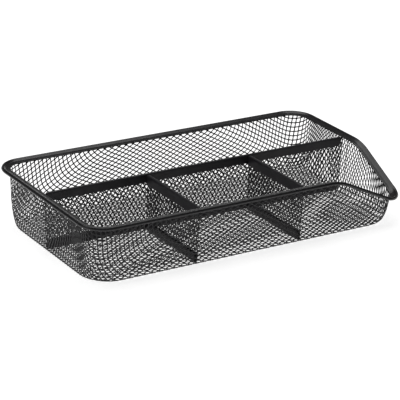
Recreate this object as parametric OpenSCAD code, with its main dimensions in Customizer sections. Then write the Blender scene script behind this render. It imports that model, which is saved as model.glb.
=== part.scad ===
// Rectangular tray of expanded steel mesh with a rolled rim, a lengthwise partition and
// cross dividers in its front row. One corner of the wall is scooped down.
// Millimetres. +X runs along the tray to the scooped end, -Y is the front, +Z is up.
// The origin is the centre of the underside.

/* [Tray] */
// Length of the mesh pan along X, outside its walls, at the rim
pan_l = 249; // [220:1:300]
// Width of the mesh pan along Y, outside its walls, at the rim
pan_w = 128.5; // [115:0.5:160]
// Height of the rim's centre above the ground
rim_z = 42; // [40:0.5:60]
// Corner radius of the walls at the rim, in plan
corner_top_r = 13; // [8:0.5:16]
// Corner radius of the walls at the floor, in plan
corner_floor_r = 23; // [18:0.5:30]
// How far each wall leans in from rim to floor
wall_lean = 1.5; // [0:0.1:3]
// Radius between wall and floor
floor_edge_r = 2.6; // [2:0.1:4]
// Thickness of the mesh skin
skin_t = 0.8; // [0.6:0.1:1.2]

/* [Rim] */
// Width of the rolled rim, outward from the wall
rim_w = 5.5; // [4:0.1:8]
// Thickness of the rolled rim
rim_t = 2.5; // [2:0.1:4]

/* [Scooped corner] */
// Length of the sloping rim along the front
scoop_front = 57; // [50:1:70]
// Length of the sloping rim along the right-hand end
scoop_side = 54; // [48:1:60]
// Angle at which the scoop falls towards the corner
scoop_angle = 34.5; // [20:0.5:36]
// Radius of the bend where the level rim turns down into the scoop
scoop_bend_r = 20; // [10:1:30]

/* [Partition and dividers] */
// Place of the lengthwise partition along Y
partition_y = 5; // [-10:0.5:20]
// Place of the left-hand divider along X
divider_left_x = -43.5; // [-60:0.5:-20]
// Place of the right-hand divider along X
divider_right_x = 40.5; // [20:0.5:45]
// Depth of the partition's top edge below the rim's centre, negative when above it
partition_sink = -0.5; // [-0.5:0.1:4]
// Depth of the dividers' top edges below the rim's centre
divider_sink = 0; // [-0.5:0.1:4]
// Height of the folded strip along the partition's top edge
partition_strip_h = 6.5; // [4:0.5:9]
// Height of the folded strip along each divider's top edge
divider_strip_h = 7.5; // [4:0.5:9]
// Height of the folded strips along the bottom edges
foot_strip_h = 6.6; // [4:0.1:9]
// Thickness across a folded strip
strip_t = 2.4; // [1.6:0.1:3]
// Gap between the end of a strip and the wall
strip_end_gap = 1.2; // [0.5:0.1:3]

/* [Hidden] */
$fn = 48;
eps = 0.01;
// heights of the rings that the pan's outside is made of, closest where it curves most
RING_Z = [0, 0.3, 0.9, 1.7, 2.6, 4.5, 7, 11, 17, 28, rim_z + 4];
// exponent that keeps the rounder corners low on the wall
corner_power = 6;
// the wall ends this far above the rim's centre, behind the rim's crown
wall_over_rim = 0.6;
// the rim's section starts this far inside the wall, before the pan's form is cut out of it
rim_bite = 0.6;
bend_steps = 8;
sheet_t = (strip_t - skin_t) / 2;
foot_top = skin_t + foot_strip_h;
partition_top = rim_z - partition_sink;
divider_top = rim_z - divider_sink;
// a folded tab at a strip's end lies against the wall: its reach along the wall and its height
tab_reach = 5;
tab_h = 4;
// how far the tab's top lies below the strip's, and how far its root runs into the strip
tab_drop = 1.5;
tab_root = 1;
// how far a cutting form reaches past what it cuts
cut_over = 1;
color_mesh = [0.10, 0.10, 0.11];
color_rim = [0.06, 0.06, 0.07];
color_strip = [0.13, 0.13, 0.14];

// ---- the pan ----

// How far the outside of the wall stands in from the rim line at height z
function wall_in(z) =
    wall_lean * max(0, 1 - z / rim_z)
    + (z < floor_edge_r ? floor_edge_r - sqrt(pow(floor_edge_r, 2) - pow(floor_edge_r - z, 2)) : 0);

// Corner radius of the outside of the wall at height z
function corner_r(z) =
    corner_top_r + (corner_floor_r - corner_top_r) * pow(max(0, 1 - z / rim_z), corner_power);

// The scoop is a plane that falls in the plan direction scoop_heading. scoop_start is the
// distance from the origin, that way, at which the level rim and the slope would meet.
scoop_heading = -atan2(scoop_front, scoop_side);
scoop_start = (pan_l / 2 - scoop_front) * cos(scoop_heading) - pan_w / 2 * sin(scoop_heading);
bend_half = scoop_bend_r * tan(scoop_angle / 2);
function scoop_drop(u) =
    u < -bend_half ? 0
    : u > bend_half * cos(scoop_angle) ? u * tan(scoop_angle)
    : scoop_bend_r - sqrt(pow(scoop_bend_r, 2) - pow(u + bend_half, 2));
function rim_height(x, y) =
    rim_z - scoop_drop(x * cos(scoop_heading) + y * sin(scoop_heading) - scoop_start);

// Closed form between the walls; lift and inset turn the outside into the inside
module pan_form(lift, inset) {
    hull()
        for (z = RING_Z, sx = [-1, 1], sy = [-1, 1])
            translate([sx * (pan_l / 2 - wall_in(z) - corner_r(z)),
                       sy * (pan_w / 2 - wall_in(z) - corner_r(z)), z + lift])
                cylinder(r = corner_r(z) - inset, h = eps);
}

// Everything above the wall's top edge: level, then a bend, then the slope of the scoop
module above_wall() {
    reach = pan_l;
    arc = [for (i = [0 : bend_steps])
        let (a = scoop_angle * i / bend_steps)
        [scoop_bend_r * sin(a) - bend_half, scoop_bend_r * (cos(a) - 1)]];
    slope_end = [reach, -reach * tan(scoop_angle)];
    rotate([0, 0, scoop_heading])
        translate([scoop_start, 0, rim_z + wall_over_rim])
            rotate([90, 0, 0])
                linear_extrude(height = 2 * reach, center = true)
                    polygon(concat([[-2 * reach, 0]], arc, [slope_end, [reach, reach], [-2 * reach, reach]]));
}

module pan() {
    color(color_mesh)
        difference() {
            pan_form(0, 0);
            pan_form(skin_t, skin_t);
            above_wall();
        }
}

// ---- the rim ----

// A rim point is [x, y, z, outward direction in plan], on the outside of the wall.
// corner is [sign of x, sign of y].
function corner_point(corner, a) =
    let (top_x = corner[0] * (pan_l / 2 - corner_top_r) + corner_top_r * cos(a),
         top_y = corner[1] * (pan_w / 2 - corner_top_r) + corner_top_r * sin(a),
         z = rim_height(top_x, top_y))
    [corner[0] * (pan_l / 2 - wall_in(z) - corner_r(z)) + corner_r(z) * cos(a),
     corner[1] * (pan_w / 2 - wall_in(z) - corner_r(z)) + corner_r(z) * sin(a), z, a];
function corner_run(corner, a_from) =
    [for (i = [0 : $fn / 4]) corner_point(corner, a_from + i * 360 / $fn)];

// Where the bend crosses the front wall and the right-hand wall
bend_u = [for (i = [0 : bend_steps]) bend_half * (-1 + (1 + cos(scoop_angle)) * i / bend_steps)];
function front_bend(u) =
    let (y = -pan_w / 2 + wall_in(rim_z - scoop_drop(u)))
    [(u + scoop_start - y * sin(scoop_heading)) / cos(scoop_heading), y, rim_z - scoop_drop(u), -90];
function side_bend(u) =
    let (x = pan_l / 2 - wall_in(rim_z - scoop_drop(u)))
    [x, (u + scoop_start - x * cos(scoop_heading)) / sin(scoop_heading), rim_z - scoop_drop(u), 0];

rim_path = concat(
    corner_run([-1, -1], 180),
    [for (u = bend_u) front_bend(u)],
    corner_run([1, -1], -90),
    [for (i = [bend_steps : -1 : 0]) side_bend(bend_u[i])],
    corner_run([1, 1], 0),
    corner_run([-1, 1], 90));

// Half thickness of the rim's section: v runs from -1 at the wall to 1 at the outer edge
function crown(v) = rim_t / 2 * (v < 0 ? 1 - 0.25 * v * v : pow(1 - pow(v, 2.5), 0.4));
rim_v = [-1 - 2 * rim_bite / rim_w, -0.7, -0.3, 0, 0.35, 0.6, 0.8, 0.93, 1];
rim_section = concat(
    [for (v = rim_v) [rim_w / 2 * (1 + v), crown(v)]],
    [for (i = [len(rim_v) - 2 : -1 : 0]) [rim_w / 2 * (1 + rim_v[i]), -crown(rim_v[i])]]);

function place(p) = [p[0], p[1], p[2]];
function unit(v) = v / norm(v);
module swept_rim() {
    n = len(rim_path);
    m = len(rim_section);
    points = [for (i = [0 : n - 1])
        let (p = rim_path[i],
             out = [cos(p[3]), sin(p[3]), 0],
             along = unit(place(rim_path[(i + 1) % n]) - place(rim_path[(i + n - 1) % n])),
             up = unit(cross(out, along)))
        for (q = rim_section) place(p) + q[0] * out + q[1] * up];
    // each stretch between two sections, as two triangles a side
    faces = [for (i = [0 : n - 1], j = [0 : m - 1], half = [0, 1])
        let (a = i * m + j,
             b = i * m + (j + 1) % m,
             c = (i + 1) % n * m + (j + 1) % m,
             d = (i + 1) % n * m + j)
        half == 0 ? [a, c, b] : [a, d, c]];
    polyhedron(points, faces, convexity = 6);
}

module rim() {
    color(color_rim)
        difference() {
            swept_rim();
            pan_form(0, 0);
        }
}

// ---- upright panels and their folded strips ----
// Each is drawn in the XZ plane, in s along the panel and z, then turned into its place.

// Inside of a wall as [s, z] from z_low up to z_high; half is the distance from the middle
function inside_run(half, z_low, z_high) =
    [for (z = concat([z_low], [for (r = RING_Z) if (r + skin_t > z_low && r + skin_t < z_high) r + skin_t],
                     [z_high]))
        [half - wall_in(z - skin_t) - skin_t, z]];
function mirrored(run) = [for (i = [len(run) - 1 : -1 : 0]) [-run[i][0], run[i][1]]];
function from_wall_to_wall(half, z_low, z_high) =
    concat(inside_run(half, z_low, z_high), mirrored(inside_run(half, z_low, z_high)));
function from_s_to_wall(s, half, z_low, z_high) =
    concat(inside_run(half, z_low, z_high), [[s, z_high], [s, z_low]]);

module upright(outline, thickness) {
    rotate([90, 0, 0])
        linear_extrude(height = thickness, center = true)
            polygon(outline);
}

// Sheet folded over a panel's top edge, its fold uppermost at z = 0
module fold(height) {
    rotate([90, 0, 90])
        linear_extrude(height = 2 * pan_l, center = true)
            difference() {
                union() {
                    translate([0, -strip_t / 2])
                        circle(d = strip_t);
                    translate([-strip_t / 2, -height])
                        square([strip_t, height - strip_t / 2]);
                }
                translate([-skin_t / 2, -height - cut_over])
                    square([skin_t, height - sheet_t + cut_over]);
            }
}

// Flat tab turned back along the wall at s, below height top
module end_tab(s, top) {
    translate([s - strip_end_gap - tab_root, skin_t / 2, top - tab_h])
        cube([strip_end_gap + tab_root, sheet_t, tab_h]);
    translate([s - sheet_t, skin_t / 2, top - tab_h])
        cube([sheet_t, tab_reach, tab_h]);
}

module top_strip(outline, top, height) {
    intersection() {
        translate([0, 0, top])
            fold(height);
        upright(outline, 2 * strip_t);
    }
}

module foot_strip(outline) {
    intersection() {
        translate([0, 0, skin_t])
            mirror([0, 0, 1])
                fold(foot_strip_h);
        upright(outline, 2 * strip_t);
    }
}

// Where a tab clears the inside of a wall that stands half away from the middle
function tab_s(half, top) = half - skin_t - wall_in(top - tab_h - skin_t);

module partition_place() {
    translate([0, partition_y, 0])
        children();
}

module partition_mesh() {
    color(color_mesh)
        partition_place()
            upright(from_wall_to_wall(pan_l / 2, skin_t + sheet_t, partition_top - sheet_t), skin_t);
}

module partition_top_strip() {
    half = pan_l / 2 - strip_end_gap;
    top = partition_top - tab_drop;
    color(color_strip)
        partition_place() {
            top_strip(from_wall_to_wall(half, foot_top, partition_top), partition_top, partition_strip_h);
            end_tab(tab_s(pan_l / 2, top), top);
            mirror([1, 0, 0])
                end_tab(tab_s(pan_l / 2, top), top);
        }
}

module partition_foot_strip() {
    color(color_strip)
        partition_place()
            foot_strip(from_wall_to_wall(pan_l / 2 - strip_end_gap, skin_t, foot_top));
}

// A divider's s runs forward, from the face of the partition
divider_s = -partition_y + strip_t / 2;
module divider_place(x) {
    translate([x, 0, 0])
        rotate([0, 0, -90])
            children();
}

module divider_mesh(x) {
    color(color_mesh)
        divider_place(x)
            upright(from_s_to_wall(divider_s, pan_w / 2, skin_t + sheet_t, divider_top - sheet_t), skin_t);
}

module divider_top_strip(x) {
    half = pan_w / 2 - strip_end_gap;
    top = divider_top - tab_drop;
    color(color_strip)
        divider_place(x) {
            top_strip(from_s_to_wall(divider_s, half, foot_top, divider_top), divider_top, divider_strip_h);
            end_tab(tab_s(pan_w / 2, top), top);
        }
}

module divider_foot_strip(x) {
    color(color_strip)
        divider_place(x)
            foot_strip(from_s_to_wall(divider_s, pan_w / 2 - strip_end_gap, skin_t, foot_top));
}

pan();
rim();
partition_mesh();
partition_top_strip();
partition_foot_strip();
divider_mesh(divider_left_x);  // divider_left_mesh
divider_top_strip(divider_left_x);  // divider_left_top_strip
divider_foot_strip(divider_left_x);  // divider_left_foot_strip
divider_mesh(divider_right_x);  // divider_right_mesh
divider_top_strip(divider_right_x);  // divider_right_top_strip
divider_foot_strip(divider_right_x);  // divider_right_foot_strip
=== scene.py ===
"""Desk organizer: expanded-metal tray with a rolled rim, a partition and two dividers.

Everything is in metres, in the CAD frame. The mesh is built strand by strand from the
flat sheet that the pan was pressed from, laid over the pan's form.
"""
import math

import bpy
import numpy as np
from mathutils import Matrix, Vector


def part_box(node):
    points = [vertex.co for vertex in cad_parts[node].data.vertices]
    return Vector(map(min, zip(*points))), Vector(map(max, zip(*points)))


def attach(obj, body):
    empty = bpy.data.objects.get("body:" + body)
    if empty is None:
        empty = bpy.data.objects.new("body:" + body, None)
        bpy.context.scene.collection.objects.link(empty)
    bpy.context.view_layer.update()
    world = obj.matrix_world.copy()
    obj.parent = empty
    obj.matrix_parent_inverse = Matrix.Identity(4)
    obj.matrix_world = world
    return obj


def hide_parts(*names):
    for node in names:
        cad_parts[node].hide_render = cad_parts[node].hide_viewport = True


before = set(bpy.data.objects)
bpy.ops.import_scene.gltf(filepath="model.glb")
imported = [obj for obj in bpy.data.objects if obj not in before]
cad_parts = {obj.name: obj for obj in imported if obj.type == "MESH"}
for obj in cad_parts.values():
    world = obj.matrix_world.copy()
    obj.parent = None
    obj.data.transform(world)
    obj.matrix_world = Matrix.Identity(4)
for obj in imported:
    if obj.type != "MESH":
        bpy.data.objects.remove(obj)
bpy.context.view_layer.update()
MM = 0.001

# ---- the pan's form, as in the CAD model ----
pan_lo, pan_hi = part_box("pan")
rim_lo, rim_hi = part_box("rim")
RIM_T = 2.5 * MM
RIM_Z = rim_hi.z - RIM_T / 2
PAN_HALF_L = (pan_hi.x - pan_lo.x) / 2
PAN_HALF_W = (pan_hi.y - pan_lo.y) / 2
RIM_W = rim_hi.x - pan_hi.x
CORNER_TOP_R = 13 * MM
CORNER_FLOOR_R = 23 * MM
CORNER_POWER = 6
WALL_LEAN = 1.5 * MM
FLOOR_EDGE_R = 2.6 * MM
SKIN_HALF = 0.4 * MM

# ---- the scooped corner ----
SCOOP_FRONT = 57 * MM
SCOOP_SIDE = 54 * MM
SCOOP_ANGLE = math.radians(34.5)
SCOOP_BEND_R = 20 * MM
SCOOP_HEADING = -math.atan2(SCOOP_FRONT, SCOOP_SIDE)
SCOOP_START = ((PAN_HALF_L - SCOOP_FRONT) * math.cos(SCOOP_HEADING)
               - PAN_HALF_W * math.sin(SCOOP_HEADING))
BEND_HALF = SCOOP_BEND_R * math.tan(SCOOP_ANGLE / 2)

# ---- the expanded metal ----
CELL_LONG = 5.7 * MM                   # long way of the diamond
CELL_SHORT = 3.33 * MM                 # short way of the diamond
STRAND_W = 0.84 * MM
STRAND_T = 0.46 * MM
STRAND_LEN = math.hypot(CELL_LONG / 2, CELL_SHORT / 2)
FLOOR_MID_Z = 0.32 * MM                # middle of the floor's strands above the ground

# ---- the leading strand, which climbs each corner ----
LEAD_AT = math.radians(60.9)           # where on the floor's corner it starts
LEAD_LOW = math.radians(46.1)          # its slope against the level: on the floor,
LEAD_STEEP = math.radians(89.7)        # where it has turned up the wall,
LEAD_TOP = math.radians(77.0)          # and at the rim
LEAD_TURNED_Z = 11.8 * MM              # height at which it has turned

# ---- how the sheet slips along the wall and is drawn up in the corner ----
# Places along the wall are measured from the middle of the long side.
SLIP = 3.9 * MM                        # how far it slips, towards the end wall
SLIP_FROM, SLIP_FULL = 15.8 * MM, 110.2 * MM
SLIP_LESS, SLIP_GONE = 132.7 * MM, 195.3 * MM
LIFT = 10.7 * MM                       # how far it is drawn up
LIFT_FROM, LIFT_FULL = 109.0 * MM, 139.6 * MM
LIFT_LESS, LIFT_GONE = 143.9 * MM, 169.2 * MM
SLIP_WALL_Z = 20 * MM                  # from this height up, slip and lift are whole

# ---- how the sheet settles ----
LEAST_ACROSS_LONG = 3.6 * MM           # a diamond's diagonals cannot close further than this
LEAST_ACROSS_SHORT = 1.92 * MM
BEND_SHARE = 0.22                      # how much of a bend its middle node makes up in one round
PULL_SHARE = 0.22                      # how much of a wrong length each end makes up in one step
PULL_STEPS = 3                         # such steps in each round
ROUNDS = 200
STEADY_L = 12 * MM                     # nearer to the middle of a side than this, the net is only folded up
STEADY_W = 6 * MM
SETTLED_LEVEL = 3.5 * MM               # up to this far beyond the flat floor, the net doesn't move
FIXED_COLUMNS = 4                      # nor do this many columns and rows at the middle of each side
SHEET_MARGIN = 50 * MM                 # how far the flat sheet reaches beyond the flat floor
STRAND_SPLIT = 4                       # the net is laid in this many steps to each strand


# ==== form ====

def outline(z):
    """Half length, half width and corner radius of the mesh's middle surface at height z.

    The rounding between wall and floor is left out.
    """
    k = np.clip(1 - z / RIM_Z, 0, 1)
    inset = WALL_LEAN * k + SKIN_HALF
    radius = CORNER_TOP_R + (CORNER_FLOOR_R - CORNER_TOP_R) * k ** CORNER_POWER - SKIN_HALF
    return PAN_HALF_L - inset, PAN_HALF_W - inset, radius


def pan_distance(x, y, z):
    """Signed distance to the middle surface of the open pan."""
    half_l, half_w, radius = outline(z)
    qx, qy = np.abs(x) - (half_l - radius), np.abs(y) - (half_w - radius)
    side = np.hypot(np.maximum(qx, 0), np.maximum(qy, 0)) + np.minimum(np.maximum(qx, qy), 0) - radius
    under = FLOOR_MID_Z - z
    edge = FLOOR_EDGE_R - SKIN_HALF
    return (np.hypot(np.maximum(side + edge, 0), np.maximum(under + edge, 0))
            + np.minimum(np.maximum(side, under) + edge, 0) - edge)


NORMAL_STEP = 0.002 * MM


def pan_normal(p):
    """Distance to the pan's middle surface and the direction away from it, at the points p."""
    x, y, z = p[..., 0], p[..., 1], p[..., 2]
    h = NORMAL_STEP
    here = pan_distance(x, y, z)
    slope = np.stack([pan_distance(x + h, y, z) - here, pan_distance(x, y + h, z) - here,
                      pan_distance(x, y, z + h) - here], -1) / h
    return here, slope / (np.linalg.norm(slope, axis=-1, keepdims=True) + 1e-12)


def onto_pan(p, steps=3):
    """The points p moved onto the pan's middle surface, and the normals there."""
    for _ in range(steps):
        d, n = pan_normal(p)
        p = p - d[..., None] * n
    return p, pan_normal(p)[1]


def rim_height(x, y):
    """Height of the rim's centre over the plan point x, y."""
    u = x * math.cos(SCOOP_HEADING) + y * math.sin(SCOOP_HEADING) - SCOOP_START
    bend = SCOOP_BEND_R - np.sqrt(np.maximum(SCOOP_BEND_R ** 2 - (u + BEND_HALF) ** 2, 0))
    drop = np.where(u < -BEND_HALF, 0,
                    np.where(u > BEND_HALF * math.cos(SCOOP_ANGLE), u * math.tan(SCOOP_ANGLE), bend))
    return RIM_Z - drop


# ==== laying the flat sheet over the pan ====

EDGE_R = FLOOR_EDGE_R - SKIN_HALF
FLAT_L = PAN_HALF_L - WALL_LEAN - SKIN_HALF - EDGE_R   # half length of the flat floor
FLAT_W = PAN_HALF_W - WALL_LEAN - SKIN_HALF - EDGE_R
FLAT_R = CORNER_FLOOR_R - SKIN_HALF - EDGE_R           # its corner radius


def level_height(level):
    """Height of a wall point that lies level beyond the flat floor, measured along the sheet."""
    arc = EDGE_R * math.pi / 2
    bend = EDGE_R * (1 - np.cos(np.clip(level, 0, arc) / EDGE_R))
    return FLOOR_MID_Z + np.where(level < arc, bend, EDGE_R + level - arc)


def smooth_step(x, low, high):
    """Rises smoothly from 0 at low to 1 at high."""
    t = np.clip((x - low) / (high - low), 0, 1)
    return t * t * (3 - 2 * t)


def beyond_floor(u, v):
    """How far the point u, v of the flat sheet lies outside the flat floor. It is negative on the floor."""
    qu, qv = u - (FLAT_L - FLAT_R), v - (FLAT_W - FLAT_R)
    return np.hypot(np.maximum(qu, 0), np.maximum(qv, 0)) + np.minimum(np.maximum(qu, qv), 0) - FLAT_R


def folded_up(u, v):
    """Places of sheet points where the walls are straight: the sheet is only folded at the floor's edge."""
    level = beyond_floor(u, v)
    z = level_height(level)
    half_l, half_w, _ = outline(z)
    on_long = (v - FLAT_W > u - FLAT_L) & (level > 0)
    on_end = ~on_long & (level > 0)
    return onto_pan(np.stack([np.where(on_end, half_l, u), np.where(on_long, half_w, v), z], -1))[0]


NODE_STEPS = 5             # steps of the search for a node's place
NODE_DAMPING = 1e-3        # keeps that search steady where strands nearly line up
LEVEL_ENOUGH = 1e-3        # below this slope the pan counts as level


def next_nodes(one, two, before, reach):
    """Nodes on the pan that lie one strand's length from the nodes one and two, opposite the node before."""
    x = one + two - before
    for _ in range(NODE_STEPS):
        d, n = pan_normal(x)
        rows, off = [n], [d]
        for p in (one, two):
            span = x - p
            length = np.linalg.norm(span, axis=-1) + 1e-12
            rows.append(span / length[:, None])
            off.append(length - reach)
        jac, off = np.stack(rows, 1), np.stack(off, 1)
        square = np.einsum("nki,nkj->nij", jac, jac) + NODE_DAMPING * np.eye(3)
        step = np.linalg.solve(square, np.einsum("nki,nk->ni", jac, off)[..., None])[..., 0]
        size = np.linalg.norm(step, axis=-1, keepdims=True)
        x = x - step * np.minimum(1, reach / 2 / (size + 1e-12))
    return x


def leading_strand(start, count, reach):
    """The strand that leaves the corner's floor, on which the rest of the corner's net depends."""
    line = [np.array(start)]
    for _ in range(count):
        p = line[-1]
        n = pan_normal(p[None])[1][0]
        level = np.cross((0, 0, 1.0), n)
        flat = np.linalg.norm(level)
        if flat > LEVEL_ENOUGH:
            level = -level / flat
            rising = np.cross(level, n)
            rising = rising if rising[2] > 0 else -rising
        else:
            level = np.array([math.sin(LEAD_AT), -math.cos(LEAD_AT), 0])
            rising = np.array([math.cos(LEAD_AT), math.sin(LEAD_AT), 0])
        share = min(p[2] / LEAD_TURNED_Z, 1)
        steep = LEAD_LOW + (LEAD_STEEP - LEAD_LOW) * share * share * (3 - 2 * share)
        steep -= (LEAD_STEEP - LEAD_TOP) * min(max((p[2] - LEAD_TURNED_Z) / (RIM_Z - LEAD_TURNED_Z), 0), 1)
        q = p + reach * (level * math.cos(steep) + rising * math.sin(steep))
        line.append(onto_pan(q[None], 2)[0][0])
    return line


def draped_quarter(n_i, n_j, split):
    """Net nodes of the quarter x > 0, y > 0.

    Strands keep their length, and each node follows from its neighbours. The arrays cover n_i x n_j places,
    with split places to each strand. Only places where i + j is even are nodes.
    Returns the nodes and how far each place of the flat sheet lies beyond the flat floor.
    """
    du, dv, reach = CELL_LONG / 2 / split, CELL_SHORT / 2 / split, STRAND_LEN / split
    i, j = np.meshgrid(np.arange(n_i), np.arange(n_j), indexing="ij")
    level = beyond_floor(i * du, j * dv)
    p = folded_up(i * du, j * dv)
    even = (i + j) % 2 == 0
    ci = round((FLAT_L - FLAT_R + FLAT_R * math.cos(LEAD_AT)) / du)
    cj = round((FLAT_W - FLAT_R + FLAT_R * math.sin(LEAD_AT)) / dv)
    cj += (ci + cj) % 2
    count = min(n_i - ci, n_j - cj) - 1
    for k, spot in enumerate(leading_strand(p[ci, cj] * (1, 1, 0) + (0, 0, FLOOR_MID_Z), count, reach)):
        p[ci + k, cj + k] = spot
    first_i, first_j = int(STEADY_L / du), int(STEADY_W / dv)
    outside = even & (level > 0)
    above = outside & (i - j < ci - cj) & (j > cj) & (i >= first_i)
    beside = outside & ((i - j > ci - cj) | (j <= cj)) & (j >= first_j)
    for row in range(1, n_j):
        k = np.nonzero(above[:n_i - 1, row])[0]
        if len(k):
            p[k, row] = next_nodes(p[k - 1, row - 1], p[k + 1, row - 1], p[k, row - 2], reach)
    for column in range(1, n_i):
        k = np.nonzero(beside[column, :n_j - 1])[0]
        if len(k):
            p[column, k] = next_nodes(p[column - 1, k - 1], p[column - 1, k + 1], p[column - 2, k], reach)
    return p, level


def relaxed(p, free, rounds):
    """Lets the net settle on the pan: strands keep their length and resist bending, and diamonds lock.

    free says which nodes may move. Each slice pair or triple names nodes that follow each other along a
    strand, or that face each other across a diamond.
    """
    lines = [(slice(None, -2), slice(1, -1), slice(2, None), slice(None, -2), slice(1, -1), slice(2, None)),
             (slice(None, -2), slice(1, -1), slice(2, None), slice(2, None), slice(1, -1), slice(None, -2))]
    pairs = [(slice(None, -1), slice(1, None), slice(None, -1), slice(1, None)),
             (slice(None, -1), slice(1, None), slice(1, None), slice(None, -1))]
    across = [(slice(None, -2), slice(2, None), slice(None), slice(None), LEAST_ACROSS_LONG),
              (slice(None), slice(None), slice(None, -2), slice(2, None), LEAST_ACROSS_SHORT)]
    free = free[..., None]
    for _ in range(rounds):
        move = np.zeros_like(p)
        for i0, i1, i2, j0, j1, j2 in lines:
            bend = (p[i0, j0] + p[i2, j2]) / 2 - p[i1, j1]
            move[i1, j1] += BEND_SHARE * bend
            move[i0, j0] -= BEND_SHARE / 2 * bend
            move[i2, j2] -= BEND_SHARE / 2 * bend
        p = onto_pan(np.where(free, p + move, p), 1)[0]
        for _ in range(PULL_STEPS):
            move = np.zeros_like(p)
            for i0, i1, j0, j1 in pairs:
                span = p[i1, j1] - p[i0, j0]
                length = np.linalg.norm(span, axis=-1, keepdims=True) + 1e-12
                pull = span * (1 - STRAND_LEN / length)
                move[i0, j0] += PULL_SHARE * pull
                move[i1, j1] -= PULL_SHARE * pull
            for i0, i1, j0, j1, least in across:
                span = p[i1, j1] - p[i0, j0]
                length = np.linalg.norm(span, axis=-1, keepdims=True) + 1e-12
                push = span * (np.maximum(least / length, 1) - 1)
                move[i0, j0] -= PULL_SHARE * push
                move[i1, j1] += PULL_SHARE * push
            p = np.where(free, p + move, p)
        p = onto_pan(p, 1)[0]
    return p


def slid(p):
    """The sheet slips along the wall towards the end wall and is drawn up, both most near the corner."""
    x, y, z = p[..., 0], p[..., 1], p[..., 2]
    half_l, half_w, radius = outline(z)
    side_l, side_w, arc = half_l - radius, half_w - radius, radius * math.pi / 2
    turn = np.arctan2(np.maximum(x - side_l, 0), np.maximum(y - side_w, 1e-9))
    run = np.where(x < side_l, x, np.where(y > side_w, side_l + radius * turn, side_l + arc + side_w - y))
    reach = SLIP * smooth_step(run, SLIP_FROM, SLIP_FULL) * (1 - smooth_step(run, SLIP_LESS, SLIP_GONE))
    lift = LIFT * smooth_step(run, LIFT_FROM, LIFT_FULL) * (1 - smooth_step(run, LIFT_LESS, LIFT_GONE))
    wall_share = smooth_step(z, FLOOR_EDGE_R, SLIP_WALL_Z)
    run = run + reach * wall_share
    z = z + lift * wall_share
    turn = np.clip((run - side_l) / radius, 0, math.pi / 2)
    q = np.stack([np.minimum(run, side_l) + radius * np.sin(turn),
                  side_w - np.maximum(run - side_l - arc, 0) + radius * np.cos(turn), z], -1)
    return onto_pan(q, 2)[0]


def pan_lattice():
    """Nodes of the expanded metal on the pan, as an array over the lattice columns i and rows j.

    Also returns which places hold a cell's middle, and the columns and rows themselves, counted from the
    pan's middle.
    """
    split = STRAND_SPLIT
    n_i = int((FLAT_L + SHEET_MARGIN) / (CELL_LONG / 2))
    n_j = int((FLAT_W + SHEET_MARGIN) / (CELL_SHORT / 2))
    quarter, level = draped_quarter(n_i * split + 1, n_j * split + 1, split)
    quarter, level = quarter[::split, ::split], level[::split, ::split]
    free = level > SETTLED_LEVEL
    free[:FIXED_COLUMNS, :] = free[:, :FIXED_COLUMNS] = free[-1:, :] = free[:, -1:] = False
    quarter = relaxed(quarter, free, ROUNDS)
    quarter = np.where((level > SETTLED_LEVEL)[..., None], slid(quarter), quarter)
    i, j = np.meshgrid(np.arange(-n_i, n_i + 1), np.arange(-n_j, n_j + 1), indexing="ij")
    sign = np.stack([np.where(i < 0, -1, 1), np.where(j < 0, -1, 1), np.ones_like(i)], -1)
    p = quarter[np.abs(i), np.abs(j)] * sign
    cells = ((i + j) % 2 == 1) & (level[np.abs(i), np.abs(j)] < SHEET_MARGIN)
    return p, cells, i, j


# ==== strands ====

EDGE_AT = (0.22, 0.78)     # points along a strand, from its low-i end
BOND_LONG = 0.97           # how much the hole is cut back at its sharp tips
BOND_SHORT = 0.98          # and at its blunt tips
SHOULDER_AT = 0.55         # the shoulder's place, from the strand's middle to its edge
SHOULDER_H = 0.80          # and its height, as a share of half the strand's thickness
LEAST_HOLE = 0.10          # a hole never closes further than this share of its cell
LOOP = 12                  # points around a cell


def lerp(a, b, t):
    return a + (b - a) * t


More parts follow.
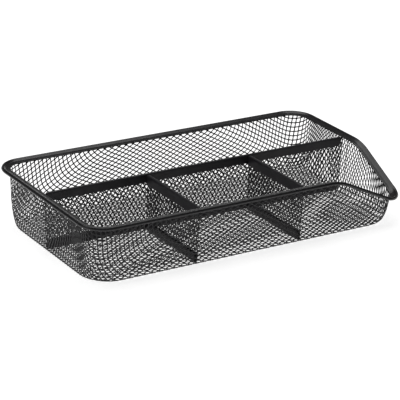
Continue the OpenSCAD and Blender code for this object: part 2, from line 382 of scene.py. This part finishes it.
def cell_mesh(p, cells, onto, clip):
    """Points and quads of expanded metal.

    p holds the lattice nodes, and cells says which i, j are a cell's middle. Each cell is a diamond with a
    hole. Its outer line runs along the middle of the strands and is shared with its neighbours. onto(points)
    gives the points on the sheet's middle surface and its normals. clip(points) trims them.
    """
    ci, cj = np.nonzero(cells)
    n_j = p.shape[1]
    flat = p.reshape(-1, 3)

    def node(i, j):
        return i * n_j + j

    west, east, south, north = node(ci - 1, cj), node(ci + 1, cj), node(ci, cj - 1), node(ci, cj + 1)
    total = len(flat)

    def strand_point(kind, start, k):
        """Id of point k on the strand that starts at a node and rises or falls with i."""
        return total + ((0 if kind == "rise" else 1) * total + start) * 2 + k

    loop = [east, strand_point("fall", north, 1), strand_point("fall", north, 0),
            north, strand_point("rise", west, 1), strand_point("rise", west, 0),
            west, strand_point("fall", west, 0), strand_point("fall", west, 1),
            south, strand_point("rise", south, 0), strand_point("rise", south, 1)]
    loop = np.stack(loop, 1)                      # cells x LOOP, ids of the outer points

    def along(one, two, k):
        return lerp(flat[one], flat[two], EDGE_AT[k])

    places = [flat[east], along(north, east, 1), along(north, east, 0),
              flat[north], along(west, north, 1), along(west, north, 0),
              flat[west], along(west, south, 0), along(west, south, 1),
              flat[south], along(south, east, 0), along(south, east, 1)]
    outer = np.stack(places, 1)                   # cells x LOOP x 3
    middle = (flat[west] + flat[east] + flat[south] + flat[north]) / 4

    def keep_share(one, two):
        """How far the hole reaches from the middle towards the strand one-two."""
        span = flat[two] - flat[one]
        area = np.linalg.norm(np.cross(flat[one] - middle, span), axis=1)
        away = area / (np.linalg.norm(span, axis=1) + 1e-12)
        return np.clip(1 - STRAND_W / 2 / np.maximum(away, 1e-6), LEAST_HOLE, 1)

    ne, nw = keep_share(north, east), keep_share(west, north)
    sw, se = keep_share(west, south), keep_share(south, east)
    share = np.stack([np.minimum(ne, se) * BOND_LONG, ne, ne, np.minimum(ne, nw) * BOND_SHORT, nw, nw,
                      np.minimum(nw, sw) * BOND_LONG, sw, sw, np.minimum(sw, se) * BOND_SHORT, se, se], 1)
    hole = middle[:, None] + (outer - middle[:, None]) * share[..., None]
    shoulder = lerp(outer, hole, SHOULDER_AT)

    def finished(points, height, sign):
        on, normal = onto(points)
        return clip(on + normal * (sign * height))

    half = STRAND_T / 2
    ids, first = np.unique(loop, return_index=True)
    rank = np.searchsorted(ids, loop)
    mid_points = outer.reshape(-1, 3)[first]
    n_mid, n_cell = len(ids), LOOP * len(ci)
    blocks = [finished(mid_points, half, 1), finished(mid_points, half, -1),
              finished(shoulder.reshape(-1, 3), half * SHOULDER_H, 1),
              finished(shoulder.reshape(-1, 3), half * SHOULDER_H, -1),
              finished(hole.reshape(-1, 3), 0, 1)]
    own = np.arange(n_cell).reshape(-1, LOOP)
    rings = [rank, 2 * n_mid + own, 2 * n_mid + 2 * n_cell + own, 2 * n_mid + n_cell + own, n_mid + rank]
    faces = []
    for r, s in zip(rings, rings[1:]):
        nxt_r, nxt_s = np.roll(r, -1, 1), np.roll(s, -1, 1)
        faces.append(np.stack([r, nxt_r, nxt_s, s], -1).reshape(-1, 4))
    faces.append(open_sides(loop, rank, n_mid))
    return np.concatenate(blocks), np.concatenate(faces)


def open_sides(loop, rank, n_mid):
    """Faces that close the sheet's cut edges, where a strand belongs to one cell only."""
    nxt = np.roll(loop, -1, 1)
    key = np.minimum(loop, nxt).astype(np.int64) * (loop.max() + 1) + np.maximum(loop, nxt)
    _, inverse, count = np.unique(key.ravel(), return_inverse=True, return_counts=True)
    alone = count[inverse].reshape(loop.shape) == 1
    a, b = rank[alone], np.roll(rank, -1, 1)[alone]
    return np.stack([b, a, a + n_mid, b + n_mid], -1)


def new_mesh(name, points, faces, smooth=True):
    """A mesh object from numpy points and quads, with unused points left out."""
    used, packed = np.unique(faces, return_inverse=True)
    data = bpy.data.meshes.new(name)
    data.vertices.add(len(used))
    data.vertices.foreach_set("co", points[used].astype(np.float32).ravel())
    n, k = len(faces), faces.shape[1]
    data.loops.add(n * k)
    data.polygons.add(n)
    data.polygons.foreach_set("loop_start", np.arange(0, n * k, k, dtype=np.int32))
    data.loops.foreach_set("vertex_index", packed.reshape(-1).astype(np.int32))
    data.polygons.foreach_set("use_smooth", np.full(n, smooth))
    data.update(calc_edges=True)
    data.validate()
    obj = bpy.data.objects.new(name, data)
    bpy.context.scene.collection.objects.link(obj)
    return obj


# ==== materials ====

# scales of the coat's noises, per metre, and how deep its orange peel is
MOTTLE_SCALE, RUB_SCALE, GLOSS_SCALE, PEEL_SCALE = 70, 420, 160, 1500
PEEL_DEPTH = 0.05 * MM


def noise(nodes, coordinates, scale, detail=3.0, rough=0.55):
    n = nodes.new("ShaderNodeTexNoise")
    n.inputs["Scale"].default_value = scale
    n.inputs["Detail"].default_value = detail
    n.inputs["Roughness"].default_value = rough
    coordinates(n.inputs["Vector"])
    return n


def ramp(nodes, links, source, stops):
    r = nodes.new("ShaderNodeValToRGB")
    for element, (position, color) in zip(r.color_ramp.elements, stops):
        element.position, element.color = position, (*color, 1)
    links.new(source, r.inputs["Fac"])
    return r


def map_range(nodes, links, source, from_range, to_range=(0, 1)):
    m = nodes.new("ShaderNodeMapRange")
    m.inputs["From Min"].default_value, m.inputs["From Max"].default_value = from_range
    m.inputs["To Min"].default_value, m.inputs["To Max"].default_value = to_range
    links.new(source, m.inputs["Value"])
    return m


def powder_coat(name, dark, light, worn, roughness, peel, wear=(0.56, 0.75), sheen=0.3):
    """Black powder coat: faint mottling, uneven gloss, orange peel, and a little wear along edges.

    wear is the range of edge sharpness over which the worn colour comes in. sheen is the mirror
    reflection's level.
    """
    mat = bpy.data.materials.new(name)
    mat.use_nodes = True
    nodes, links = mat.node_tree.nodes, mat.node_tree.links
    shader = nodes["Principled BSDF"]
    position = nodes.new("ShaderNodeTexCoord")

    def coordinates(socket):
        links.new(position.outputs["Object"], socket)

    mottle = noise(nodes, coordinates, MOTTLE_SCALE, 4)
    base = ramp(nodes, links, mottle.outputs["Fac"], [(0.35, dark), (0.68, light)])
    edge = nodes.new("ShaderNodeNewGeometry")
    rub = noise(nodes, coordinates, RUB_SCALE, 3, 0.7)
    worn_edge = map_range(nodes, links, edge.outputs["Pointiness"], wear)
    patchy = nodes.new("ShaderNodeMath")
    patchy.operation = "MULTIPLY"
    links.new(worn_edge.outputs["Result"], patchy.inputs[0])
    links.new(rub.outputs["Fac"], patchy.inputs[1])
    mix = nodes.new("ShaderNodeMix")
    mix.data_type = "RGBA"
    links.new(patchy.outputs["Value"], mix.inputs["Factor"])
    links.new(base.outputs["Color"], mix.inputs["A"])
    mix.inputs["B"].default_value = (*worn, 1)
    links.new(mix.outputs["Result"], shader.inputs["Base Color"])

    gloss = noise(nodes, coordinates, GLOSS_SCALE, 3)
    gloss = map_range(nodes, links, gloss.outputs["Fac"], (0.3, 0.7), roughness)
    links.new(gloss.outputs["Result"], shader.inputs["Roughness"])

    bump = nodes.new("ShaderNodeBump")
    bump.inputs["Strength"].default_value = peel
    bump.inputs["Distance"].default_value = PEEL_DEPTH
    links.new(noise(nodes, coordinates, PEEL_SCALE, 2).outputs["Fac"], bump.inputs["Height"])
    links.new(bump.outputs["Normal"], shader.inputs["Normal"])
    shader.inputs["Specular IOR Level"].default_value = sheen
    return mat


def grey(value, tint=0.0):
    """A grey that tint makes slightly blue."""
    return (value * (1 + tint * 0.3), value, value * (1 + tint))


MESH_COAT = powder_coat("mesh_coat", grey(0.006, 0.15), grey(0.011, 0.15), grey(0.05), (0.34, 0.48), 0.12)
RIM_COAT = powder_coat("rim_coat", grey(0.005, 0.15), grey(0.009, 0.15), grey(0.06), (0.24, 0.34), 0.15,
                       wear=(0.60, 0.80))
STRIP_COAT = powder_coat("strip_coat", grey(0.009, 0.2), grey(0.014, 0.2), grey(0.06), (0.34, 0.48), 0.25,
                         wear=(0.58, 0.80), sheen=0.35)


def finish_piece(obj, material, slot, *replaced):
    """Gives a piece its material and body, and hides the CAD nodes it stands for."""
    obj.data.materials.clear()
    obj.data.materials.append(material)
    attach(obj, "root")
    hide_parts(*replaced)
    return obj


# ==== the pan's mesh ====

FLARE = 0.9 * MM           # how far the mesh turns outward under the rim
FLARE_OVER = 2.4 * MM      # over the wall's last stretch
TUCKED = 0.45 * MM         # how far below the rim's centre the mesh ends, inside the rim
WALL_FROM_Z = 4 * MM       # below this the mesh is floor or edge, and is not turned outward
FLOOR_OVER = 1 * MM        # the floor's pieces reach this far into the edge


def clip_at_rim(p):
    """Bends the wall's top outward into the rim and ends it inside the rim."""
    normal = pan_normal(p)[1]
    top = rim_height(p[..., 0], p[..., 1])
    share = np.clip(1 - (top - p[..., 2]) / FLARE_OVER, 0, 1)
    flat_n = normal * np.array([1, 1, 0])
    flat_n = flat_n / (np.linalg.norm(flat_n, axis=-1, keepdims=True) + 1e-9)
    wall = (p[..., 2] > WALL_FROM_Z)[..., None]
    p = np.where(wall, p + flat_n * (FLARE * share ** 2)[..., None], p)
    top = rim_height(p[..., 0], p[..., 1]) - TUCKED
    p[..., 2] = np.minimum(p[..., 2], top)
    return p


def pan_pieces():
    """The pan's mesh, in six pieces that share their outlines."""
    p, cells, i, j = pan_lattice()
    over = p[..., 2] - rim_height(p[..., 0], p[..., 1])
    lowest = np.full(p.shape[:2], 1.0)
    for di, dj in ((1, 0), (-1, 0), (0, 1), (0, -1)):
        lowest = np.minimum(lowest, np.roll(over, (di, dj), (0, 1)))
    keep = cells & (lowest < 0)
    keep[0, :] = keep[-1, :] = keep[:, 0] = keep[:, -1] = False
    u, v = i * CELL_LONG / 2, j * CELL_SHORT / 2
    floor = (np.abs(u) < FLAT_L + FLOOR_OVER) & (np.abs(v) < FLAT_W + FLOOR_OVER)
    end = (np.abs(u) - FLAT_L) > (np.abs(v) - FLAT_W)
    parts = {
        "pan_floor_left": floor & (u < 0),
        "pan_floor_right": floor & (u >= 0),
        "pan_front_wall": ~floor & ~end & (v < 0),
        "pan_back_wall": ~floor & ~end & (v > 0),
        "pan_left_wall": ~floor & end & (u < 0),
        "pan_right_wall": ~floor & end & (u > 0),
    }
    for name, where in parts.items():
        points, faces = cell_mesh(p, keep & where, onto_pan, clip_at_rim)
        finish_piece(new_mesh(name, points, faces), MESH_COAT, "mesh", "pan")


# ==== the partition's and dividers' mesh ====

def wall_inset(z):
    """How far the pan's inside stands in from the rim line at height z."""
    low = np.clip(FLOOR_EDGE_R - z, 0, FLOOR_EDGE_R)
    edge = FLOOR_EDGE_R - np.sqrt(FLOOR_EDGE_R ** 2 - low ** 2)
    return WALL_LEAN * np.clip(1 - z / RIM_Z, 0, 1) + edge + 2 * SKIN_HALF


PANEL_TUCK = 0.2 * MM      # the panel's mesh ends this far inside its CAD solid's top and bottom
WALL_GAP = 0.1 * MM        # between a panel's end and the wall's mesh


def panel_mesh(name, node, along, s_ends, half_span):
    """An upright panel of expanded metal, its diamonds standing upright.

    It runs along 'x' or 'y' between s_ends. half_span is the pan's half size that way, and the panel's ends
    follow the wall.
    """
    lo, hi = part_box(node)
    across = (lo.y + hi.y) / 2 if along == "x" else (lo.x + hi.x) / 2
    bottom, top = lo.z + PANEL_TUCK, hi.z - PANEL_TUCK
    n_i = int((s_ends[1] - s_ends[0]) / (CELL_SHORT / 2)) + 4
    n_j = int((top - bottom) / (CELL_LONG / 2)) + 4
    i, j = np.meshgrid(np.arange(n_i), np.arange(n_j), indexing="ij")
    s = s_ends[0] + (i - 1) * CELL_SHORT / 2
    z = bottom + (j - 1) * CELL_LONG / 2
    flat = np.full_like(s, across)
    p = np.stack([s, flat, z] if along == "x" else [flat, s, z], -1)
    axis = 0 if along == "x" else 1
    normal = np.array([0, -1.0, 0]) if along == "x" else np.array([1.0, 0, 0])
    cells = (i + j) % 2 == 1
    cells[0, :] = cells[-1, :] = cells[:, 0] = cells[:, -1] = False

    def onto(points):
        return points, np.broadcast_to(normal, points.shape)

    def clip(points):
        points = points.copy()
        points[..., 2] = np.clip(points[..., 2], bottom, top)
        reach = half_span - wall_inset(points[..., 2] - 2 * SKIN_HALF) - WALL_GAP
        low, high = np.maximum(s_ends[0], -reach), np.minimum(s_ends[1], reach)
        points[..., axis] = np.clip(points[..., axis], low, high)
        return points

    points, faces = cell_mesh(p, cells, onto, clip)
    return finish_piece(new_mesh(name, points, faces), MESH_COAT, "mesh", node)


# ==== the rim ====

def outer_outline(z):
    half_l, half_w, radius = outline(z)
    return half_l + SKIN_HALF, half_w + SKIN_HALF, radius + SKIN_HALF


CORNER_STEPS = 24          # steps of the rim's path round a corner
SIDE_STEPS = 61            # and along a side
HEIGHT_ROUNDS = 4          # rounds that settle the path's height and place where the wall leans and dips
# the corner at the far end of the side that follows each corner
SIDE_AFTER = {(-1, -1): (1, -1), (1, -1): (1, 1), (1, 1): (-1, 1), (-1, 1): (-1, -1)}


def rim_path():
    """Closed path along the wall's outer face at the rim's centre, with the outward direction in plan."""
    spots = []
    for sx, sy, start in ((-1, -1, 180), (1, -1, 270), (1, 1, 0), (-1, 1, 90)):
        for k in range(CORNER_STEPS + 1):
            angle = math.radians(start + 90 * k / CORNER_STEPS)
            spots.append((sx, sy, math.cos(angle), math.sin(angle), 0))
        # along the side that follows this corner, as shares of it
        for share in np.linspace(0, 1, SIDE_STEPS + 1)[1:-1]:
            spots.append((sx, sy, math.cos(angle), math.sin(angle), share))
    path = []
    for sx, sy, nx, ny, share in spots:
        ox, oy = SIDE_AFTER[(sx, sy)]
        z = RIM_Z
        for _ in range(HEIGHT_ROUNDS):
            half_l, half_w, radius = outer_outline(z)
            x, y = sx * (half_l - radius) + radius * nx, sy * (half_w - radius) + radius * ny
            x2, y2 = ox * (half_l - radius) + radius * nx, oy * (half_w - radius) + radius * ny
            x, y = x + (x2 - x) * share, y + (y2 - y) * share
            z = float(rim_height(x, y))
        path.append((x, y, z, nx, ny))
    return np.array(path)


RIM_IN = 0.95 * MM         # the flange reaches this far over the mesh, inside the wall


def rim_section():
    """Section of the rim as (outward, up): a flange over the wall's top that rises to an outer roll."""
    w, t = RIM_W, RIM_T / 2
    top = [(-RIM_IN, -0.52 * t), (-RIM_IN, -0.35 * t), (-RIM_IN + 0.08 * MM, -0.20 * t),
           (-0.55 * MM, -0.10 * t), (0.2 * MM, -0.06 * t), (1.2 * MM, 0.0),
           (2.2 * MM, 0.14 * t), (2.9 * MM, 0.42 * t),
           (3.4 * MM, 0.75 * t), (3.9 * MM, 0.95 * t), (4.35 * MM, 1.0 * t), (4.8 * MM, 0.90 * t),
           (5.15 * MM, 0.66 * t), (5.35 * MM, 0.32 * t), (w, -0.05 * t)]
    under = [(5.35 * MM, -0.45 * t), (5.15 * MM, -0.75 * t), (4.8 * MM, -0.94 * t), (4.35 * MM, -1.0 * t),
             (3.9 * MM, -0.94 * t), (3.5 * MM, -0.80 * t), (3.0 * MM, -0.68 * t), (2.2 * MM, -0.64 * t),
             (1.3 * MM, -0.68 * t), (0.6 * MM, -0.74 * t), (-0.1 * MM, -0.78 * t),
             (-RIM_IN + 0.3 * MM, -0.76 * t), (-RIM_IN + 0.06 * MM, -0.66 * t)]
    return np.array(top + under)


def rim_piece():
    """The rim's section swept along its path."""
    path, section = rim_path(), rim_section()
    place = path[:, :3]
    out = np.column_stack([path[:, 3:5], np.zeros(len(path))])
    step = np.roll(place, -1, 0) - np.roll(place, 1, 0)
    step /= np.linalg.norm(step, axis=1, keepdims=True)
    up = np.cross(out, step)
    up /= np.linalg.norm(up, axis=1, keepdims=True)
    points = place[:, None] + section[None, :, :1] * out[:, None] + section[None, :, 1:] * up[:, None]
    n, m = points.shape[:2]
    a = np.arange(n)[:, None] * m + np.arange(m)[None, :]
    b = np.roll(a, -1, 1)
    faces = np.stack([a, b, np.roll(b, -1, 0), np.roll(a, -1, 0)], -1).reshape(-1, 4)
    return finish_piece(new_mesh("rim_rolled", points.reshape(-1, 3), faces), RIM_COAT, "rim", "rim")


# ==== folded strips ====

STRIP_W = 2.4 * MM         # thickness across a folded strip
LEAF_T = 0.5 * MM          # thickness of the strip's sheet
PARTITION_STRIP_H = 6.5 * MM
DIVIDER_STRIP_H = 7.5 * MM
STRIP_GAP = 2.4 * MM       # from the pan's outer face at the rim to a top strip's end
STRIP_GAP_RIGHT = 3.9 * MM             # the same at the partition's right-hand end
FOOT_GAP = 0.6 * MM        # how far a foot strip stays inside its CAD solid's end at a wall
STATION_STEP = 3 * MM      # distance between sections along a strip
STRIP_CORNER_R = 1.6 * MM  # rounding of a strip's lower corners
STRIP_WAVINESS = 0.05 * MM
FOLD_STEPS = 8
LEG_LEVELS = (0.97, 0.66, 0.33)        # levels of the points along a strip's leg, as shares of its height
LEG_END_OUT, LEG_END_IN = 0.98, 1.02   # a leg's free edge is thinned to these shares, outside and inside
LEG_END_LIFT = 0.1 * MM    # and its inner line ends this much higher
CUT_FROM = 0.3             # share of the height below the fold where a corner's rounding begins
FOLD_CUT = 0.35            # share of that rounding by which the fold dips at its ends
END_STATIONS = (0.12, 0.3, 0.6)        # extra sections near a strip's ends, as shares of STRIP_CORNER_R
SWAY_WAVES = (55, 140)     # how quickly a strip's leg sways along it, in radians per metre

TAB_ROOT = 4.6 * MM        # how far from the wall a tab starts, within its strip's leg
TAB_BEND_R = 0.9 * MM      # radius at which it turns along the wall
TAB_REACH = 5 * MM         # its reach along the wall
TAB_H = 4 * MM             # its height
TAB_DROP = 1.5 * MM        # how far its top lies below the strip's
TAB_CORNER_R = 1.0 * MM
TAB_BEND_STEPS = 6
TAB_WALL_GAP = 0.15 * MM   # between a tab and the wall's mesh


def folded_section(height):
    """Section of a sheet folded over the panel's edge, with its fold at z = 0.

    Returns the outer and the inner points as (across, z).
    """
    half, gap = STRIP_W / 2, STRIP_W / 2 - LEAF_T
    outer = [(-half * LEG_END_OUT, -height)] + [(-half, -height * share) for share in LEG_LEVELS]
    inner = [(-gap * LEG_END_IN, -height + LEG_END_LIFT)]
    inner += [(-gap, -height * share) for share in LEG_LEVELS]
    for k in range(FOLD_STEPS + 1):
        angle = math.pi * (1 - k / FOLD_STEPS)
        outer.append((half * math.cos(angle), -half + half * math.sin(angle)))
        inner.append((gap * math.cos(angle), -half + gap * math.sin(angle)))
    outer += [(half, -height * share) for share in reversed(LEG_LEVELS)] + [(half * LEG_END_OUT, -height)]
    inner += [(gap, -height * share) for share in reversed(LEG_LEVELS)]
    inner += [(gap * LEG_END_IN, -height + LEG_END_LIFT)]
    return np.array(outer), np.array(inner)


def ribbon_faces(n_stations, n_pairs):
    """Faces of a closed ribbon with closed ends. A station's outer points come before its inner ones."""
    m = 2 * n_pairs
    ring = np.concatenate([np.arange(n_pairs), np.arange(m - 1, n_pairs - 1, -1)])
    faces = []
    for s in range(n_stations - 1):
        low, high = s * m + ring, (s + 1) * m + ring
        faces += [(low[k], low[(k + 1) % m], high[(k + 1) % m], high[k]) for k in range(m)]
    last = (n_stations - 1) * m
    for k in range(n_pairs - 1):
        faces.append((k, n_pairs + k, n_pairs + k + 1, k + 1))
        faces.append((last + k, last + k + 1, last + n_pairs + k + 1, last + n_pairs + k))
    return faces


def strip_stations(start, end):
    """Places of the sections along a strip, closer together at its rounded ends."""
    stations = np.linspace(start, end, int((end - start) / STATION_STEP) + 1)
    extra = STRIP_CORNER_R * np.array(END_STATIONS)
    return np.unique(np.concatenate([stations, start + extra, end - extra]))


def corner_cut(left, radius):
    """How much of a rounded corner is missing at a distance left from its end."""
    return 0 if left > radius else radius - math.sqrt(radius ** 2 - (radius - left) ** 2)


def strip_piece(name, node, axis, across, s_ends, top, height, flip=False, tabs=()):
    """A folded strip along axis 'x' or 'y' between s_ends, its fold at height top, or at its foot if flip.

    across is its place the other way. Each of tabs is a wall's face, the direction off it and the tab's
    side.
    """
    outer, inner = folded_section(height)
    stations = strip_stations(*s_ends)
    phase = np.random.default_rng(len(name)).uniform(0, 6.28, 3)
    points = []
    for s in stations:
        cut = corner_cut(min(s - s_ends[0], s_ends[1] - s), STRIP_CORNER_R)
        slow, quick = math.sin(s * SWAY_WAVES[0] + phase[0]), math.sin(s * SWAY_WAVES[1] + phase[1])
        sway = STRIP_WAVINESS * (slow + 0.5 * quick)
        for line in (outer, inner):
            for c, z in line:
                deep = -z / height
                drop = z + cut * max(0.0, (deep - CUT_FROM) / (1 - CUT_FROM))
                drop = drop - (FOLD_CUT * cut if deep < CUT_FROM else 0)
                side = c + sway * deep
                level = top - drop if flip else top + drop
                points.append((s, across + side, level) if axis == "x" else (across + side, s, level))
    faces = ribbon_faces(len(stations), len(outer))
    points, faces = np.array(points), np.array(faces)
    for tab in tabs:
        tab_points, tab_faces = tab_plate(axis, across, top, *tab)
        faces = np.concatenate([faces, tab_faces + len(points)])
        points = np.concatenate([points, tab_points])
    if flip == (axis == "x"):
        faces = faces[:, ::-1]
    return finish_piece(new_mesh(name, points, faces), STRIP_COAT, "strip", node)


def tab_plate(axis, across, top, s_wall, away, side):
    """Tab at a strip's end, turned along the wall.

    s_wall is the wall's face, away points off it along the strip, and side is where the tab turns to.
    """
    leaf, start = LEAF_T, STRIP_W / 2 - LEAF_T / 2
    line = [(s_wall + away * TAB_ROOT, start)]
    for k in range(TAB_BEND_STEPS + 1):
        a = math.pi / 2 * k / TAB_BEND_STEPS
        line.append((s_wall + away * (leaf / 2 + TAB_BEND_R * (1 - math.sin(a))),
                     start + TAB_BEND_R * (1 - math.cos(a))))
    line.append((s_wall + away * leaf / 2, start + TAB_REACH * 0.6))
    line.append((s_wall + away * leaf / 2, start + TAB_REACH))
    line = np.array(line)
    step = np.gradient(line, axis=0)
    step /= np.linalg.norm(step, axis=1, keepdims=True)
    normal = np.column_stack([-step[:, 1], step[:, 0]])
    points = []
    for spot, n in zip(line, normal):
        cut = corner_cut(np.linalg.norm(line[-1] - spot), TAB_CORNER_R)
        for h, t in ((-1, -1), (1, -1), (1, 1), (-1, 1)):
            q = spot + n * t * leaf / 2
            z = top - TAB_DROP - TAB_H / 2 + h * (TAB_H / 2 - cut)
            off = across + side * q[1]
            points.append((q[0], off, z) if axis == "x" else (off, q[0], z))
    n = len(line)
    faces = [(s * 4 + k, s * 4 + (k + 1) % 4, s * 4 + 4 + (k + 1) % 4, s * 4 + 4 + k)
             for s in range(n - 1) for k in range(4)]
    faces += [(3, 2, 1, 0), (n * 4 - 4, n * 4 - 3, n * 4 - 2, n * 4 - 1)]
    return np.array(points), np.array(faces)


# ==== putting it together ====

part_lo, part_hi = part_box("partition_mesh")
PARTITION_Y = (part_lo.y + part_hi.y) / 2
DIVIDER_X = {"left": sum(c.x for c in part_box("divider_left_mesh")) / 2,
             "right": sum(c.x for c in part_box("divider_right_mesh")) / 2}


def build_pan():
    pan_pieces()
    rim_piece()


def build_partition():
    lo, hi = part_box("partition_mesh")
    panel_mesh("partition_panel", "partition_mesh", "x", (lo.x, hi.x), PAN_HALF_L)
    lo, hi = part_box("partition_top_strip")
    wall = PAN_HALF_L - 2 * SKIN_HALF - TAB_WALL_GAP
    strip_piece("partition_strip", "partition_top_strip", "x", PARTITION_Y,
                (-PAN_HALF_L + STRIP_GAP, PAN_HALF_L - STRIP_GAP_RIGHT), hi.z, PARTITION_STRIP_H,
                tabs=((-wall, 1, 1), (wall, -1, 1)))
    lo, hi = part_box("partition_foot_strip")
    strip_piece("partition_foot", "partition_foot_strip", "x", PARTITION_Y,
                (lo.x + FOOT_GAP, hi.x - FOOT_GAP), lo.z, hi.z - lo.z, flip=True)


def build_divider(side):
    lo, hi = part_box(f"divider_{side}_mesh")
    panel_mesh(f"divider_{side}_panel", f"divider_{side}_mesh", "y", (lo.y, hi.y), PAN_HALF_W)
    lo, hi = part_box(f"divider_{side}_top_strip")
    wall = PAN_HALF_W - 2 * SKIN_HALF - TAB_WALL_GAP
    strip_piece(f"divider_{side}_strip", f"divider_{side}_top_strip", "y", DIVIDER_X[side],
                (-PAN_HALF_W + STRIP_GAP, PARTITION_Y - STRIP_W / 2), hi.z, DIVIDER_STRIP_H,
                tabs=((-wall, 1, 1),))
    lo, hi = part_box(f"divider_{side}_foot_strip")
    strip_piece(f"divider_{side}_foot", f"divider_{side}_foot_strip", "y", DIVIDER_X[side],
                (lo.y + FOOT_GAP, hi.y), lo.z, hi.z - lo.z, flip=True)


# ==== scene ====

FLOOR_SIZE = 6.0
FLOOR_CELLS = 24
FLOOR_GREY = 0.42
FLOOR_GLOW = 0.79          # lifts the floor to white, so only a soft shadow shows


def build_stage():
    s = np.linspace(-FLOOR_SIZE / 2, FLOOR_SIZE / 2, FLOOR_CELLS + 1)
    x, y = np.meshgrid(s, s, indexing="ij")
    points = np.stack([x, y, np.zeros_like(x)], -1).reshape(-1, 3)
    row = FLOOR_CELLS + 1
    a = (np.arange(FLOOR_CELLS)[:, None] * row + np.arange(FLOOR_CELLS)[None, :]).reshape(-1)
    faces = np.stack([a, a + row, a + row + 1, a + 1], -1)
    floor = new_mesh("floor", points, faces, smooth=False)
    mat = bpy.data.materials.new("pale_floor")
    mat.use_nodes = True
    shader = mat.node_tree.nodes["Principled BSDF"]
    shader.inputs["Base Color"].default_value = (FLOOR_GREY, FLOOR_GREY, FLOOR_GREY, 1)
    shader.inputs["Roughness"].default_value = 0.9
    shader.inputs["Specular IOR Level"].default_value = 0.1
    shader.inputs["Emission Color"].default_value = (1, 1, 1, 1)
    shader.inputs["Emission Strength"].default_value = FLOOR_GLOW
    floor.data.materials.append(mat)


def area_light(name, location, target, size, power):
    """A rectangular light of a size in metres and a power in watts, turned towards target."""
    data = bpy.data.lights.new(name, "AREA")
    data.shape = "RECTANGLE"
    data.size, data.size_y = size
    data.energy = power
    light = bpy.data.objects.new(name, data)
    light.location = location
    light.rotation_euler = (Vector(target) - Vector(location)).to_track_quat("-Z", "Y").to_euler()
    bpy.context.scene.collection.objects.link(light)


def build_light():
    area_light("softbox_above", (0.0, 0.35, 1.5), (0, 0, 0), (1.8, 1.2), 22)
    area_light("fill_left", (-1.8, 0.2, 0.9), (0, 0, 0), (1.0, 1.0), 3)
    area_light("card_behind", (0.95, 1.65, 0.17), (0, 0, 0.02), (2.0, 0.3), 2.0)
    world = bpy.data.worlds.new("studio")
    world.use_nodes = True
    background = world.node_tree.nodes["Background"]
    background.inputs["Color"].default_value = (1, 1, 1, 1)
    background.inputs["Strength"].default_value = 0.12
    bpy.context.scene.world = world


CAMERA_AT = (-0.68999, -1.04466, 0.52232)
CAMERA_AZIMUTH = math.radians(33.35)   # heading, from +Y towards +X
CAMERA_DOWN = math.radians(22.01)      # how far it looks down
CAMERA_ROLL = math.radians(2.49)
LENS, SENSOR_W = 172.94, 36            # millimetres


def build_camera():
    forward = Vector((math.sin(CAMERA_AZIMUTH) * math.cos(CAMERA_DOWN),
                      math.cos(CAMERA_AZIMUTH) * math.cos(CAMERA_DOWN), -math.sin(CAMERA_DOWN)))
    level = Vector((math.cos(CAMERA_AZIMUTH), -math.sin(CAMERA_AZIMUTH), 0))
    upright = level.cross(forward)
    right = level * math.cos(CAMERA_ROLL) + upright * math.sin(CAMERA_ROLL)
    up = upright * math.cos(CAMERA_ROLL) - level * math.sin(CAMERA_ROLL)
    data = bpy.data.cameras.new("camera")
    data.sensor_width = SENSOR_W
    data.lens = LENS
    data.clip_start, data.clip_end = 0.05, 20
    camera = bpy.data.objects.new("camera", data)
    turn = Matrix((right, up, -forward)).transposed().to_4x4()
    camera.matrix_world = Matrix.Translation(CAMERA_AT) @ turn
    bpy.context.scene.collection.objects.link(camera)
    bpy.context.scene.camera = camera


build_camera()
build_light()
build_stage()
build_pan()
build_partition()
build_divider("left")
build_divider("right")
bpy.context.scene.view_settings.view_transform = "Standard"
bpy.context.scene.cycles.filter_width = 1.45
